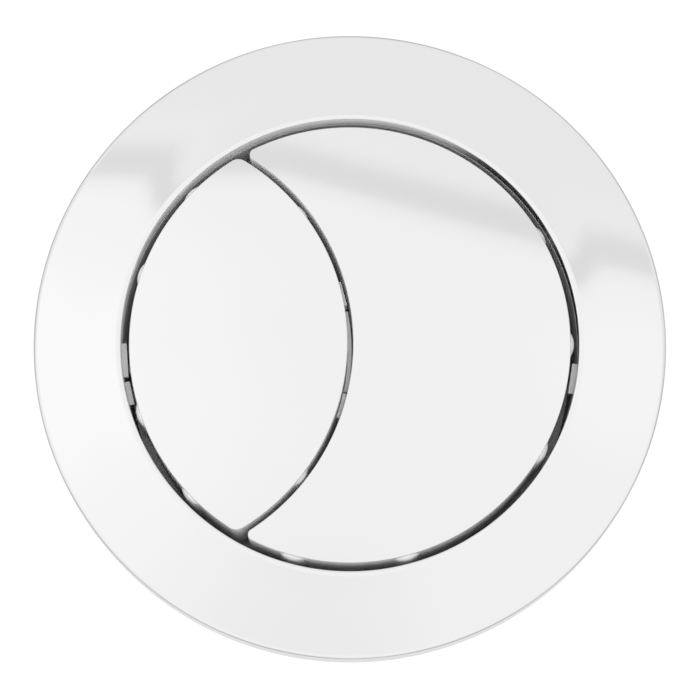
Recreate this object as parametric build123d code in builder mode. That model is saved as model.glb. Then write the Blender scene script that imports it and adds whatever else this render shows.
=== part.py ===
from build123d import *
import os
from math import asin, cos, degrees, radians, sin

# Dual flush button for a cistern lid, in millimetres.
# The lid's top surface is z = 0, +Z points up out of the lid, and -X is the half flush side.

# Bezel, the ring that covers the hole in the lid
bezel_radius = 36.75
bezel_width = 10.15
bezel_height = 4.87
bezel_crown = 0.03
bezel_skin = 1.97
bezel_rim_edge = 0.35
bezel_hole_edge = 0.1
rim_wall = 2.45
rim_lift = 0.3
lip_wall = 1.4
lip_depth = 2.8

# Snap lugs that hold the bezel on the housing's flange
lug_count = 6
lug_width = 7.0
lug_stand = 0.7
lug_height = 0.8
snap_clearance = 0.3
lug_clearance = 0.1
lip_clearance = 0.2

# Two keys on the lip beside the half flush button, clear of its skirt, with the button's tab below them
key_clearance = 0.3
key_angles = (183.8, 192.2)
key_widths = (4.0, 2.8)
key_heights = (0.9, 0.3)

# Buttons: a lens on the left, and on the right the disc that the lens leaves
button_gap = 0.95
divider_inset = 0.25
divider_gap = 0.62
button_height = 11.5
button_cap = 2.0
button_skirt = 1.5
button_edge = 0.1
half_tip_round = 1.4
full_tip_round = 0.7
travel = 8.0

# Guide nubs, spacer ribs, a ledge and a tab on the buttons' skirts, each clear of the wall that it faces
nub_radius = 2.5
nub_clearance = 0.48
nub_head = 1.0
nub_drop = 0.15
divider_clearance = 0.28
spacer_clearance = 0.15
divider_nub_angle = 38.0
full_nub_angles = (0, 30, 75, 105, 255, 285, 330)
half_nub_angles = (136, 161, 199, 224)
spacer_rib_width = 3.0
spacer_rib_offset = 6.6
spacer_rib_drop = 4.8
ledge_length = 9.6
ledge_drop = 6.5
tab_width = 4.0
tab_clearance = 0.35
tab_drop = 10.0

# Under each button: a boss for the plunger, and a cup round the spring's top
boss_wall = 1.55
boss_room = 1.2
cup_clearance = 0.6
cup_wall = 1.2
cup_depth = 3.0
web = 1.2

# Housing: a threaded tail through the lid with a deck across it, bonded into a flange on the lid
gasket_thickness = 1.5
glue_line = 0.05
flange_rebate = 0.5
tail_wall = 2.0
tail_length = 38.5
tail_chamfer = 0.8
collar_step = 0.9
collar_depth = 3.0
deck_room = 1.9
deck_thickness = 2.5
sleeve_wall = 1.8
sleeve_length = 5.5
spigot_height = 1.2
deck_rib = 1.6
deck_rib_depth = 4.0
drain_radius = 2.5
drain_inset = 7.1
drain_angles = (62, 90, 118, 242, 270, 298)

# Gasket under the flange, and the nut and washer under the lid
gasket_collar_clearance = 1.0
gasket_lug_clearance = 0.6
lid_thickness = 14.0
washer_thickness = 2.0
washer_inset = 1.0
washer_clearance = 0.8
nut_height = 10.0
nut_flange = 2.6
nut_flange_reach = 3.0
nut_wall = 3.0
nut_grip_count = 12
nut_grip_width = 5.0
nut_grip_round = 1.0
nut_grip_inset = 0.9
nut_chamfer = 0.6
thread_clearance = 0.15

# Plungers, their springs and clips
stem_inset = 0.325
stem_radius = 4.0
stem_clearance = 0.2
stem_chamfer = 0.5
socket_clearance = 0.05
shoulder_inset = 0.2
shoulder_height = 1.2
plunger_tail = 7.0
wire_radius = 0.5
spring_clearance = 1.0
spring_turns = 4
spring_seat_gap = 0.05
clip_thickness = 1.0
clip_overhang = 0.4
clip_mouth = 5.6
clip_seat_gap = 0.1
clip_clearance = 0.05
groove_depth = 0.8

# Push rods, the nuts that lock them and the feet on their ends
rod_radius = 2.5
rod_length = 62.0
rod_grip = 11.0
rod_chamfer = 0.5
rod_clearance = 0.05
lock_nut_flats = 8.0
lock_nut_height = 4.0
tip_radius = 4.5
tip_grip = 7.0
tip_sole = 2.5
tip_sole_edge = 1.3
tip_neck_edge = 0.8

# Heights and radii that follow from the sizes above
opening_radius = bezel_radius - bezel_width
button_top = bezel_height + bezel_crown
cap_underside = button_top - button_cap
skirt_bottom = button_top - button_height
button_radius = opening_radius - button_gap
divider_centre = -button_radius
divider_radius = button_radius - divider_inset
full_divider_radius = divider_radius + divider_gap
nub_stand = button_gap - nub_clearance
divider_stand = divider_gap - divider_clearance
spacer_stand = divider_gap - spacer_clearance
tab_stand = button_gap - tab_clearance
key_stand = button_gap - key_clearance

skin_underside = bezel_height - bezel_skin
rim_inner_radius = bezel_radius - rim_wall
lip_radius = opening_radius + lip_wall
lip_bottom = button_top - lip_depth
lug_top = gasket_thickness - lug_clearance

flange_radius = rim_inner_radius - snap_clearance
counterbore_radius = lip_radius + lip_clearance
counterbore_floor = lip_bottom - lug_clearance
tail_radius = opening_radius + tail_wall
collar_radius = tail_radius + collar_step
rebate_radius = collar_radius - flange_rebate

deck_top = skirt_bottom - travel - deck_room
deck_bottom = deck_top - deck_thickness
sleeve_bore = stem_radius + stem_clearance
sleeve_radius = sleeve_bore + sleeve_wall
sleeve_top = deck_top + spigot_height
sleeve_bottom = deck_bottom - sleeve_length

socket_radius = stem_radius + socket_clearance
boss_radius = socket_radius + boss_wall
shoulder_radius = boss_radius - shoulder_inset
shoulder_bottom = sleeve_top + travel + boss_room
boss_bottom = shoulder_bottom + shoulder_height
spring_radius = max(boss_radius, sleeve_radius) + spring_clearance + wire_radius
cup_inner_radius = spring_radius + wire_radius + cup_clearance
cup_radius = cup_inner_radius + cup_wall

clip_top = sleeve_bottom - clip_seat_gap
clip_bottom = clip_top - clip_thickness
clip_radius = sleeve_radius + clip_overhang
groove_radius = stem_radius - groove_depth
plunger_bottom = clip_bottom - plunger_tail
rod_top = plunger_bottom + rod_grip
rod_bottom = rod_top - rod_length

washer_top = -lid_thickness
nut_top = washer_top - washer_thickness
nut_bottom = nut_top - nut_height
nut_bore = tail_radius + thread_clearance
nut_radius = nut_bore + nut_wall
nut_flange_radius = nut_radius + nut_flange_reach

stem_offset = button_radius / 2 - stem_inset
sides = {"half": -stem_offset, "full": stem_offset}
from_below = (Align.CENTER, Align.CENTER, Align.MIN)

os.makedirs("parts", exist_ok=True)


def save(piece, node):
    """Label a finished piece and write it as its own STEP file."""
    piece.label = node
    export_step(piece, f"parts/{node}.step")


def on_circle(radius, angle, centre_x=0.0):
    """The point at an angle on a circle round (centre_x, 0)."""
    return (centre_x + radius * cos(radians(angle)), radius * sin(radians(angle)))


# Bezel: one moulded ring with a crowned face, an inner lip with keys and snap lugs inside its rim
with BuildPart() as bezel:
    with BuildSketch(Plane.XZ):
        with BuildLine():
            Polyline(
                (opening_radius, button_top),
                (bezel_radius, bezel_height),
                (bezel_radius, rim_lift),
                (rim_inner_radius, rim_lift),
                (rim_inner_radius, skin_underside),
                (lip_radius, skin_underside),
                (lip_radius, lip_bottom),
                (opening_radius, lip_bottom),
                close=True,
            )
        make_face()
    revolve(axis=Axis.Z)
    chamfer(bezel.edges().filter_by_position(Axis.Z, bezel_height, bezel_height), bezel_rim_edge)
    chamfer(bezel.edges().filter_by_position(Axis.Z, button_top, button_top), bezel_hole_edge)
    with BuildSketch(Plane.XY.offset(lug_top)):
        with PolarLocations(rim_inner_radius, lug_count):
            Rectangle(2 * lug_stand, lug_width)
    extrude(amount=-lug_height)
    for angle, width, height in zip(key_angles, key_widths, key_heights):
        with BuildSketch(Plane.XY.offset(lip_bottom)):
            with Locations(Location((*on_circle(opening_radius, angle), 0), (0, 0, angle))):
                Rectangle(2 * key_stand, width)
        extrude(amount=height)
save(bezel.part, "bezel")


# Button outlines, seen from above
with BuildSketch() as half_outline:
    Circle(button_radius)
    with Locations((divider_centre, 0)):
        Circle(divider_radius, mode=Mode.INTERSECT)
    fillet(half_outline.vertices(), half_tip_round)

with BuildSketch() as full_outline:
    Circle(button_radius)
    with Locations((divider_centre, 0)):
        Circle(full_divider_radius, mode=Mode.SUBTRACT)
    fillet(full_outline.vertices(), full_tip_round)

# Their hollows, one skirt's wall inside those outlines
with BuildSketch() as half_hollow:
    Circle(button_radius - button_skirt)
    with Locations((divider_centre, 0)):
        Circle(divider_radius - button_skirt, mode=Mode.INTERSECT)

with BuildSketch() as full_hollow:
    Circle(button_radius - button_skirt)
    with Locations((divider_centre, 0)):
        Circle(full_divider_radius + button_skirt, mode=Mode.SUBTRACT)

# Guide nub: an upright pip with a tapered head, most of it sunk in the skirt
with BuildPart() as nub:
    Cylinder(nub_radius, button_height - nub_drop, align=from_below)
    chamfer(nub.edges().group_by(Axis.Z)[-1], nub_head)

spacer_rib_angle = degrees(asin(spacer_rib_offset / divider_radius))
rim_nub_circle = button_radius + nub_stand - nub_radius
divider_nub_circle = divider_radius + divider_stand - nub_radius

# Ledge between the spacer ribs: a short stretch of the skirt's wall, made thicker
with BuildSketch() as half_ledge:
    with Locations((divider_centre, 0)):
        Circle(divider_radius + spacer_stand)
        Circle(divider_radius - button_skirt / 2, mode=Mode.SUBTRACT)
    with Locations((divider_centre + divider_radius, 0)):
        Rectangle(4 * button_skirt, ledge_length, mode=Mode.INTERSECT)


def make_webs(stem_x):
    """A cross of stiffening webs, with the spring's cup in its middle."""
    with BuildSketch() as webs:
        with Locations((stem_x, 0)):
            Rectangle(4 * button_radius, web)
            Rectangle(web, 4 * button_radius)
            Circle(cup_radius)
            Circle(cup_inner_radius, mode=Mode.SUBTRACT)
    return webs.sketch


def make_button(outline, hollow, webs, nub_points, rib_places, ledges, stem_x):
    """A hollow button cap with its skirt, nubs, ribs, boss, spring cup and stiffening webs.

    Each rib's place is a location on the skirt's foot, with its stand, its width and its drop. Each ledge is
    a sketch of its plan.
    """
    with BuildPart() as button:
        with BuildSketch(Plane.XY.offset(skirt_bottom)):
            add(outline.sketch)
        extrude(amount=button_height)
        chamfer(button.faces().sort_by(Axis.Z)[-1].edges(), button_edge)
        with Locations(*[(x, y, skirt_bottom) for x, y in nub_points]):
            add(nub.part)
        for place, stand, width, drop in rib_places:
            with Locations(place):
                Box(2 * stand, width, button_height - drop, align=from_below)
        for ledge in ledges:
            with BuildSketch(Plane.XY.offset(skirt_bottom)):
                add(ledge.sketch)
            extrude(amount=button_height - ledge_drop)
        with BuildSketch(Plane.XY.offset(skirt_bottom)):
            add(hollow.sketch)
        extrude(amount=cap_underside - cup_depth - skirt_bottom, mode=Mode.SUBTRACT)
        with BuildSketch(Plane.XY.offset(cap_underside)):
            add(hollow.sketch)
            add(webs, mode=Mode.SUBTRACT)
        extrude(amount=-cup_depth, mode=Mode.SUBTRACT)
        with BuildSketch(Plane.XY.offset(cap_underside)):
            with Locations((stem_x, 0)):
                Circle(boss_radius)
                Circle(socket_radius, mode=Mode.SUBTRACT)
        extrude(amount=boss_bottom - cap_underside)
    return button.part


half_nubs = [on_circle(rim_nub_circle, angle) for angle in half_nub_angles]
for angle in (-divider_nub_angle, divider_nub_angle):
    half_nubs.append(on_circle(divider_nub_circle, angle, divider_centre))
full_nubs = [on_circle(rim_nub_circle, angle) for angle in full_nub_angles]
half_ribs = [(Location((-button_radius, 0, skirt_bottom)), tab_stand, tab_width, tab_drop)]
for angle in (-spacer_rib_angle, spacer_rib_angle):
    place = Location((*on_circle(divider_radius, angle, divider_centre), skirt_bottom), (0, 0, angle))
    half_ribs.append((place, spacer_stand, spacer_rib_width, spacer_rib_drop))
half_webs, full_webs = [make_webs(x) for x in sides.values()]
half_ledges = [half_ledge]
half_button = make_button(
    half_outline, half_hollow, half_webs, half_nubs, half_ribs, half_ledges, sides["half"]
)
full_button = make_button(full_outline, full_hollow, full_webs, full_nubs, (), (), sides["full"])
save(half_button, "half_flush_button")
save(full_button, "full_flush_button")


# Seat flange: the ring on the lid that the bezel snaps onto
with BuildPart() as seat_flange:
    with BuildSketch(Plane.XY.offset(gasket_thickness)):
        Circle(flange_radius)
        Circle(rebate_radius + glue_line, mode=Mode.SUBTRACT)
    extrude(amount=skin_underside - gasket_thickness)
save(seat_flange.part, "seat_flange")


# Housing: collar and tail in one moulding, with the deck that guides both stems
with BuildPart() as housing:
    with BuildSketch(Plane.XZ):
        with BuildLine():
            Polyline(
                (opening_radius, counterbore_floor),
                (counterbore_radius, counterbore_floor),
                (counterbore_radius, skin_underside),
                (rebate_radius, skin_underside),
                (rebate_radius, gasket_thickness),
                (collar_radius, gasket_thickness),
                (collar_radius, -collar_depth),
                (tail_radius, -collar_depth),
                (tail_radius, -tail_length),
                (opening_radius, -tail_length),
                close=True,
            )
        make_face()
    revolve(axis=Axis.Z)
    tail_end = housing.edges().group_by(Axis.Z)[0].sort_by(SortBy.LENGTH)[-1]
    chamfer(tail_end, tail_chamfer)
    with BuildSketch(Plane.XY.offset(deck_top)):
        Circle(opening_radius + tail_wall / 2)
    extrude(amount=-deck_thickness)
    with BuildSketch(Plane.XY.offset(deck_bottom)):
        Rectangle(2 * opening_radius + tail_wall, deck_rib)
        with Locations(*[(x, 0) for x in sides.values()]):
            Rectangle(deck_rib, 2 * opening_radius)
        Circle(opening_radius + tail_wall / 2, mode=Mode.INTERSECT)
    extrude(amount=-deck_rib_depth)
    with BuildSketch(Plane.XY.offset(sleeve_bottom)):
        with Locations(*[(x, 0) for x in sides.values()]):
            Circle(sleeve_radius)
    extrude(amount=sleeve_top - sleeve_bottom)
    with Locations(*[(x, 0, sleeve_top) for x in sides.values()]):
        Hole(sleeve_bore)
    with Locations(*[(*on_circle(opening_radius - drain_inset, angle), deck_top) for angle in drain_angles]):
        Hole(drain_radius, deck_thickness)
save(housing.part, "housing")


# Gasket: a plain soft ring under the flange
with BuildPart() as seat_gasket:
    with BuildSketch():
        Circle(rim_inner_radius - lug_stand - gasket_lug_clearance)
        Circle(collar_radius + gasket_collar_clearance, mode=Mode.SUBTRACT)
    extrude(amount=gasket_thickness)
save(seat_gasket.part, "seat_gasket")


# Washer: a rubber ring that the nut presses up against the lid
with BuildPart() as nut_washer:
    with BuildSketch(Plane.XY.offset(nut_top)):
        Circle(nut_flange_radius - washer_inset)
        Circle(tail_radius + washer_clearance, mode=Mode.SUBTRACT)
    extrude(amount=washer_thickness)
save(nut_washer.part, "nut_washer")


# Back nut: a flanged ring nut with upright grips for the fingers
with BuildPart() as back_nut:
    with BuildSketch(Plane.XY.offset(nut_bottom)):
        Circle(nut_radius)
    extrude(amount=nut_height)
    with BuildSketch(Plane.XY.offset(nut_top)):
        Circle(nut_flange_radius)
    extrude(amount=-nut_flange)
    with BuildSketch(Plane.XY.offset(nut_top - nut_flange)):
        with PolarLocations(nut_radius, nut_grip_count):
            Rectangle(2 * (nut_flange_radius - nut_grip_inset - nut_radius), nut_grip_width)
    extrude(amount=nut_flange - nut_height)
    upright_edges = back_nut.edges(Select.LAST).filter_by(Axis.Z)
    fillet(upright_edges.sort_by_distance((0, 0, 0))[-2 * nut_grip_count:], nut_grip_round)
    with Locations((0, 0, nut_top)):
        Hole(nut_bore)
    chamfer(back_nut.edges(Select.LAST).filter_by(GeomType.CIRCLE), nut_chamfer)
save(back_nut.part, "back_nut")


def make_plunger(stem_x):
    """A stem with a shoulder under the boss, a groove for the clip and a hole for the rod."""
    with BuildPart() as plunger:
        with Locations((stem_x, 0, plunger_bottom)):
            Cylinder(stem_radius, cap_underside - plunger_bottom, align=from_below)
        chamfer(plunger.edges().group_by(Axis.Z)[0], stem_chamfer)
        chamfer(plunger.edges().group_by(Axis.Z)[-1], stem_chamfer)
        with Locations((stem_x, 0, shoulder_bottom)):
            Cylinder(shoulder_radius, shoulder_height, align=from_below)
        with BuildSketch(Plane.XY.offset(clip_top)):
            with Locations((stem_x, 0)):
                Circle(stem_radius)
                Circle(groove_radius, mode=Mode.SUBTRACT)
        extrude(amount=-clip_thickness, mode=Mode.SUBTRACT)
        with BuildSketch(Plane.XY.offset(plunger_bottom)):
            with Locations((stem_x, 0)):
                Circle(rod_radius + rod_clearance)
        extrude(amount=rod_grip, mode=Mode.SUBTRACT)
    return plunger.part


def make_spring(stem_x):
    """A compression spring with ground ends, from the deck to the cap's underside."""
    bottom = deck_top + spring_seat_gap
    top = cap_underside - spring_seat_gap
    with BuildPart() as spring:
        with BuildLine():
            coil = Helix((top - bottom) / spring_turns, top - bottom, spring_radius, (stem_x, 0, bottom))
        with BuildSketch(Plane(origin=coil @ 0, z_dir=coil % 0)):
            RegularPolygon(wire_radius, 6)
        sweep(is_frenet=True)
        with Locations((stem_x, 0, bottom)):
            Cylinder(2 * spring_radius, top - bottom, align=from_below, mode=Mode.INTERSECT)
    return spring.part


def make_clip(stem_x):
    """A spring steel clip, open on one side, that snaps into the plunger's groove."""
    with BuildPart() as clip:
        with BuildSketch(Plane.XY.offset(clip_bottom)):
            with Locations((stem_x, 0)):
                Circle(clip_radius)
                Circle(groove_radius + clip_clearance, mode=Mode.SUBTRACT)
            with Locations((stem_x, -clip_radius)):
                Rectangle(clip_mouth, 2 * clip_radius, mode=Mode.SUBTRACT)
        extrude(amount=clip_thickness)
    return clip.part


def make_rod(stem_x):
    """A push rod screwed into the plunger from below."""
    with BuildPart() as rod:
        with Locations((stem_x, 0, rod_bottom)):
            Cylinder(rod_radius, rod_length, align=from_below)
        chamfer(rod.edges().filter_by(GeomType.CIRCLE), rod_chamfer)
    return rod.part


def make_lock_nut(stem_x):
    """A hexagon nut that locks the rod against the plunger's end."""
    with BuildPart() as lock_nut:
        with BuildSketch(Plane.XY.offset(plunger_bottom)):
            with Locations((stem_x, 0)):
                RegularPolygon(lock_nut_flats / 2, 6, major_radius=False)
                Circle(rod_radius + rod_clearance, mode=Mode.SUBTRACT)
        extrude(amount=-lock_nut_height)
    return lock_nut.part


def make_tip(stem_x):
    """A rounded foot pushed onto the rod's lower end."""
    with BuildPart() as tip:
        with Locations((stem_x, 0, rod_bottom - tip_sole)):
            Cylinder(tip_radius, tip_grip + tip_sole, align=from_below)
        chamfer(tip.edges().group_by(Axis.Z)[0], tip_sole_edge)
        chamfer(tip.edges().group_by(Axis.Z)[-1], tip_neck_edge)
        with BuildSketch(Plane.XY.offset(rod_bottom)):
            with Locations((stem_x, 0)):
                Circle(rod_radius + rod_clearance)
        extrude(amount=tip_grip, mode=Mode.SUBTRACT)
    return tip.part


for side, x in sides.items():
    save(make_plunger(x), f"{side}_plunger")
    save(make_spring(x), f"{side}_spring")
    save(make_clip(x), f"{side}_retaining_clip")
    save(make_rod(x), f"{side}_push_rod")
    save(make_lock_nut(x), f"{side}_rod_lock_nut")
    save(make_tip(x), f"{side}_rod_tip")
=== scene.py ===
"""Dual flush button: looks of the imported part, in the part's own frame.

Sizes are in millimetres until a piece is finished, and the lid's top surface is z = 0.
"""

import logging
from collections.abc import Iterable, Sequence
from dataclasses import dataclass
from enum import Enum, IntEnum
from math import atan2, cos, pi, radians, sin, sqrt, tau

import bmesh
import bpy
from bmesh.types import BMEdge, BMesh, BMFace, BMVert
from bpy.types import Material, Node, NodeSocket, NodeTree, Object
from mathutils import Matrix, Vector


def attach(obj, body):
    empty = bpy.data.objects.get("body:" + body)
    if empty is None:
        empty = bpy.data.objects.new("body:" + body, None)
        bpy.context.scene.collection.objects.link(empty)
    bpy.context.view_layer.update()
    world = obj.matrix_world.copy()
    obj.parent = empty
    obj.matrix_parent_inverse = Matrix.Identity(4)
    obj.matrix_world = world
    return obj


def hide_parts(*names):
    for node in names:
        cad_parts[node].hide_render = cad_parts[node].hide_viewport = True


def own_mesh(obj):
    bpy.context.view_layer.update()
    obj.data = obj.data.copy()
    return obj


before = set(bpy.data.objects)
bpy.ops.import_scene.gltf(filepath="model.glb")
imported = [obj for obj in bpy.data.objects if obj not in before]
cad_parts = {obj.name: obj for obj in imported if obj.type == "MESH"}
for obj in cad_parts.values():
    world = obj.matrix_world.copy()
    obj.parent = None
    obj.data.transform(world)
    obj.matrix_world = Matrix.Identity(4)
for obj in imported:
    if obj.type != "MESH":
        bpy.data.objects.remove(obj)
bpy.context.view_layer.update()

LOG = logging.getLogger("dual_flush_button")
MM = 0.001
# How close points have to be to count as one, to join in a chain of arcs, and to lie on a ring or a cut.
WELD = 0.0005
CHAIN_WELD = 0.01
ON_RING = 0.001
ON_CUT = 1e-6
CREASE = radians(35)
UP = Vector((0.0, 0.0, 1.0))
# Further out than any place on the face, so that a limit there never holds.
FAR = 999.0
WHITE = "#ffffff"
# Most of a noise's values lie between these two.
NOISE_SPAN = (0.3, 0.7)
# How far the plungers, springs and rods stand to either side of the middle.
STEM_X = 12.5


class Body(Enum):
    """The CAD bodies that pieces ride on."""

    HOUSING = "housing"
    HALF = "half_button"
    FULL = "full_button"
    WASHER = "nut_washer"
    NUT = "back_nut"


class Slot(Enum):
    """The record's material slots that the pieces stand for."""

    CHROME = "chrome_plate"
    WHITE_ABS = "white_abs"
    GREY_ABS = "grey_abs"
    FOAM = "closed_cell_foam"
    RUBBER = "black_rubber"
    SPRING_STEEL = "spring_steel"
    ZINC = "zinc_plated_steel"
    POLYETHYLENE = "grey_polyethylene"


class Side(Enum):
    """The two flushes: the half flush lies towards -X."""

    HALF = "half"
    FULL = "full"

    @property
    def sign(self) -> int:
        """The side's direction along X."""
        return -1 if self is Side.HALF else 1

    @property
    def body(self) -> Body:
        """The body that travels with this side's button."""
        return Body.HALF if self is Side.HALF else Body.FULL

    @property
    def stem_x(self) -> float:
        """Where this side's plunger, spring and rod stand along X."""
        return self.sign * STEM_X


def linear(code: str) -> tuple[float, float, float, float]:
    """Turn an sRGB hex colour into linear red, green, blue and alpha."""
    channels = [int(code[i : i + 2], 16) / 255 for i in (1, 3, 5)]
    red, green, blue = [c / 12.92 if c <= 0.04045 else ((c + 0.055) / 1.055) ** 2.4 for c in channels]
    return red, green, blue, 1.0


def per_mm(size: float) -> float:
    """The scale of a pattern whose features are this many millimetres across."""
    return 1 / (size * MM)


def add_node(
    tree: NodeTree, kind: str, inputs: dict[str | int, object] | None = None, **settings: object
) -> Node:
    """Add a node with its settings, values and links.

    Args:
        tree: the node tree that gets the node.
        kind: the node's type name.
        inputs: for each socket, its value or the output that feeds it.
        settings: the node's own properties.

    Returns:
        The new node.
    """
    node = tree.nodes.new(kind)
    for name, value in settings.items():
        setattr(node, name, value)
    for socket, value in (inputs or {}).items():
        if isinstance(value, NodeSocket):
            tree.links.new(value, node.inputs[socket])
        else:
            node.inputs[socket].default_value = value
    return node


@dataclass(frozen=True)
class Finish:
    """A surface: what it is made of, and what its making leaves on it.

    Its colour drifts between two and its roughness is uneven between two. The grain is its fine relief, and
    the sheen is how strongly it mirrors where it isn't metal.
    """

    name: str
    colour: str
    drift_colour: str
    drift_mm: float
    roughness: tuple[float, float]
    gloss_mm: float
    grain_mm: float
    grain_depth_mm: float
    metallic: float = 0.0
    sheen: float = 0.5

    def material(self) -> Material:
        """Make the finish's material, or find it if it was made before."""
        made = bpy.data.materials.get(self.name)
        if made is not None:
            return made
        made = bpy.data.materials.new(self.name)
        made.use_nodes = True
        made.node_tree.nodes.clear()
        self.dress(made.node_tree)
        return made

    def dress(self, tree: NodeTree) -> None:
        """Build the nodes: drifting colour, uneven gloss and fine grain.

        Args:
            tree: the material's empty node tree.
        """
        place = add_node(tree, "ShaderNodeTexCoord").outputs["Object"]
        drift = add_node(
            tree, "ShaderNodeTexNoise", {"Vector": place, "Scale": per_mm(self.drift_mm), "Detail": 3.0}
        )
        colour = add_node(
            tree,
            "ShaderNodeMix",
            {0: drift.outputs[0], 6: linear(self.colour), 7: linear(self.drift_colour)},
            data_type="RGBA",
        )
        shader = add_node(
            tree,
            "ShaderNodeBsdfPrincipled",
            {
                "Base Color": colour.outputs[2],
                "Roughness": self.gloss(tree, place),
                "Normal": self.relief(tree, place),
                "Metallic": self.metal(tree, place),
                "Specular IOR Level": self.sheen,
            },
        )
        add_node(tree, "ShaderNodeOutputMaterial", {"Surface": shader.outputs[0]})

    def metal(self, tree: NodeTree, place: NodeSocket) -> float | NodeSocket:
        """How far the surface is metal, here the same all over."""
        return self.metallic

    def gloss(self, tree: NodeTree, place: NodeSocket) -> NodeSocket:
        """Uneven gloss between the two roughness values.

        Args:
            tree: the material's node tree.
            place: the object coordinates.

        Returns:
            The roughness.
        """
        patches = add_node(
            tree, "ShaderNodeTexNoise", {"Vector": place, "Scale": per_mm(self.gloss_mm), "Detail": 4.0}
        )
        start, end = NOISE_SPAN
        low, high = self.roughness
        return add_node(
            tree,
            "ShaderNodeMapRange",
            {"Value": patches.outputs[0], "From Min": start, "From Max": end, "To Min": low, "To Max": high},
        ).outputs[0]

    def relief(self, tree: NodeTree, place: NodeSocket) -> NodeSocket:
        """Turn the grain into the fine relief of the surface.

        Args:
            tree: the material's node tree.
            place: the object coordinates.

        Returns:
            The normal.
        """
        height = self.grain(tree, place)
        bump = add_node(tree, "ShaderNodeBump", {"Height": height, "Distance": self.grain_depth_mm * MM})
        return bump.outputs[0]

    def grain(self, tree: NodeTree, place: NodeSocket) -> NodeSocket:
        """The height of a fine, even noise."""
        inputs = {"Vector": place, "Scale": per_mm(self.grain_mm), "Detail": 2.0}
        return add_node(tree, "ShaderNodeTexNoise", inputs).outputs[0]


@dataclass(frozen=True)
class ClosedCellFoam(Finish):
    """Die-cut foam: its cut skin shows as a field of small burst bubbles."""

    def grain(self, tree: NodeTree, place: NodeSocket) -> NodeSocket:
        """The height of round pits, one for each bubble."""
        inputs = {"Vector": place, "Scale": per_mm(self.grain_mm)}
        return add_node(tree, "ShaderNodeTexVoronoi", inputs).outputs[0]


@dataclass(frozen=True)
class FadingPlate(Finish):
    """Plate that is bright on one side of the hole, and thins to a matt coat towards the other.

    It thins along thin_way, between two places in millimetres from the middle of the hole. Where it is
    bright, bright_share of the roughness is left.
    """

    thin_way: tuple[float, float, float] = (-0.67, 0.74, 0.0)
    bright_to: float = 4.0
    matt_from: float = 13.0
    bright_share: float = 0.04

    def fade(self, tree: NodeTree, place: NodeSocket, bright: float, matt: float) -> NodeSocket:
        """Go from one value to another across the hole.

        Args:
            tree: the material's node tree.
            place: the object coordinates.
            bright: the value where the plate is bright.
            matt: the value where it is thin.

        Returns:
            The value between them.
        """
        across = add_node(
            tree, "ShaderNodeVectorMath", {0: place, 1: self.thin_way}, operation="DOT_PRODUCT"
        )
        return add_node(
            tree,
            "ShaderNodeMapRange",
            {
                "Value": across.outputs["Value"],
                "From Min": self.bright_to * MM,
                "From Max": self.matt_from * MM,
                "To Min": bright,
                "To Max": matt,
            },
            interpolation_type="SMOOTHSTEP",
        ).outputs[0]

    def metal(self, tree: NodeTree, place: NodeSocket) -> float | NodeSocket:
        """Metal where the plate is bright, and elsewhere a coat too thin to mirror."""
        return self.fade(tree, place, 1.0, self.metallic)

    def gloss(self, tree: NodeTree, place: NodeSocket) -> NodeSocket:
        """Uneven gloss that fades with the plate.

        Args:
            tree: the material's node tree.
            place: the object coordinates.

        Returns:
            The roughness.
        """
        patches = super().gloss(tree, place)
        share = self.fade(tree, place, self.bright_share, 1.0)
        return add_node(tree, "ShaderNodeMath", {0: patches, 1: share}, operation="MULTIPLY").outputs[0]


# Chrome over buffed ABS mirrors the room almost whole. The plastic under it leaves a slow ripple, far too
# shallow to see by itself, and wiping leaves faintly hazy patches.
CHROME = Finish(
    "chrome_plate_on_buffed_abs",
    "#f4f4f4",
    "#f3f3f3",
    drift_mm=14.0,
    roughness=(0.012, 0.022),
    gloss_mm=9.0,
    grain_mm=11.0,
    grain_depth_mm=0.0006,
    metallic=1.0,
)
# In the gaps the current was weak and the plate is thin, so the walls there are matt and take light softly.
DULL_CHROME = Finish(
    "chrome_plate_thin_in_gaps",
    "#f3f3f4",
    "#efeff0",
    drift_mm=6.0,
    roughness=(0.7, 0.8),
    gloss_mm=4.0,
    grain_mm=4.0,
    grain_depth_mm=0.004,
    sheen=0.02,
)
# Down the wall of the bezel's hole the plate is bright at the right, and thins towards the back left.
WALL_CHROME = FadingPlate(
    "chrome_plate_thinning_on_wall",
    "#f3f3f4",
    "#efeff0",
    drift_mm=6.0,
    roughness=(0.7, 0.8),
    gloss_mm=4.0,
    grain_mm=4.0,
    grain_depth_mm=0.004,
    sheen=0.02,
)
# On the keys' flat tops the plate is thin as well and matt; their grey colour is painted shade, for the
# shade down in the gap.
KEY_CHROME_PAINTED_SHADE = Finish(
    "chrome_on_keys_painted_shade",
    "#c4c4c5",
    "#bcbcbd",
    drift_mm=3.0,
    roughness=(0.5, 0.6),
    gloss_mm=2.0,
    grain_mm=4.0,
    grain_depth_mm=0.004,
    sheen=0.1,
)
# White ABS from a lightly blasted mould: satin, and faintly uneven where the plastic flowed.
WHITE_ABS = Finish(
    "white_abs_moulded_satin",
    "#e4e4e2",
    "#dcdcda",
    drift_mm=18.0,
    roughness=(0.36, 0.48),
    gloss_mm=5.0,
    grain_mm=0.35,
    grain_depth_mm=0.012,
)
# Grey ABS from a spark-eroded mould: matt, with a fine pebble.
GREY_ABS = Finish(
    "grey_abs_moulded_eroded",
    "#8b9094",
    "#83888c",
    drift_mm=9.0,
    roughness=(0.44, 0.58),
    gloss_mm=3.0,
    grain_mm=0.45,
    grain_depth_mm=0.03,
)
# Acetal is a milkier white than ABS, and smooth and waxy.
ACETAL = Finish(
    "white_acetal_moulded",
    "#e9e8df",
    "#e3e1d6",
    drift_mm=6.0,
    roughness=(0.24, 0.34),
    gloss_mm=2.5,
    grain_mm=0.8,
    grain_depth_mm=0.006,
)
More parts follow.
